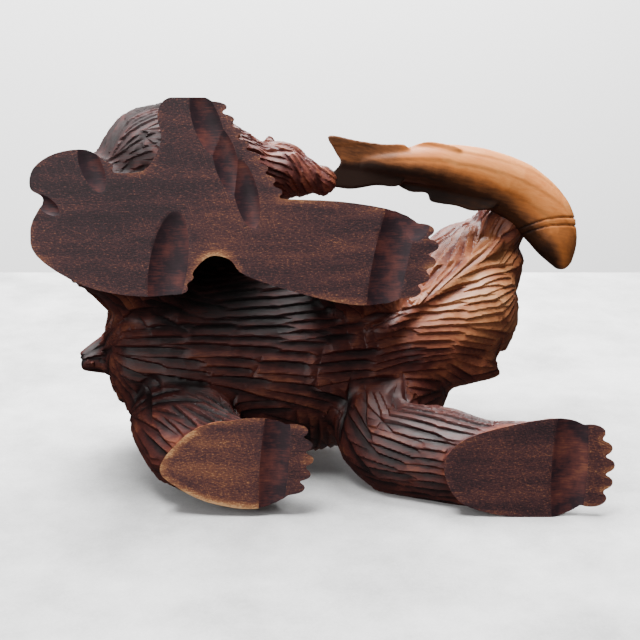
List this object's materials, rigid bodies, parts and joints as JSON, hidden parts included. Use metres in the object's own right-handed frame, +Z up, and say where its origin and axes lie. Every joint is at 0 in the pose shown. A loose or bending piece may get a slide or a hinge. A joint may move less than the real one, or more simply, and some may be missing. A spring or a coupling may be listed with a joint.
{
  "type": "carved_figure_group",
  "caption": "Carved wooden bear walking with a salmon across her mouth and a cub biting its tail, cut from one block and standing on flat sawn soles",
  "frame": {"origin": "on the plane of the soles, under the middle of the group", "axes": "+X is the way the bear walks, +Y is her left side, +Z is up from the soles"},
  "size_m": [0.3224, 0.2318, 0.1568],
  "materials": {
    "carved_wood": "gouge-cut fur, stained dark and waxed; salmon and worn soles paler"
  },
  "bodies": {
    "root": {"carved_bear_group": "carved_wood"}
  },
  "joints": []
}
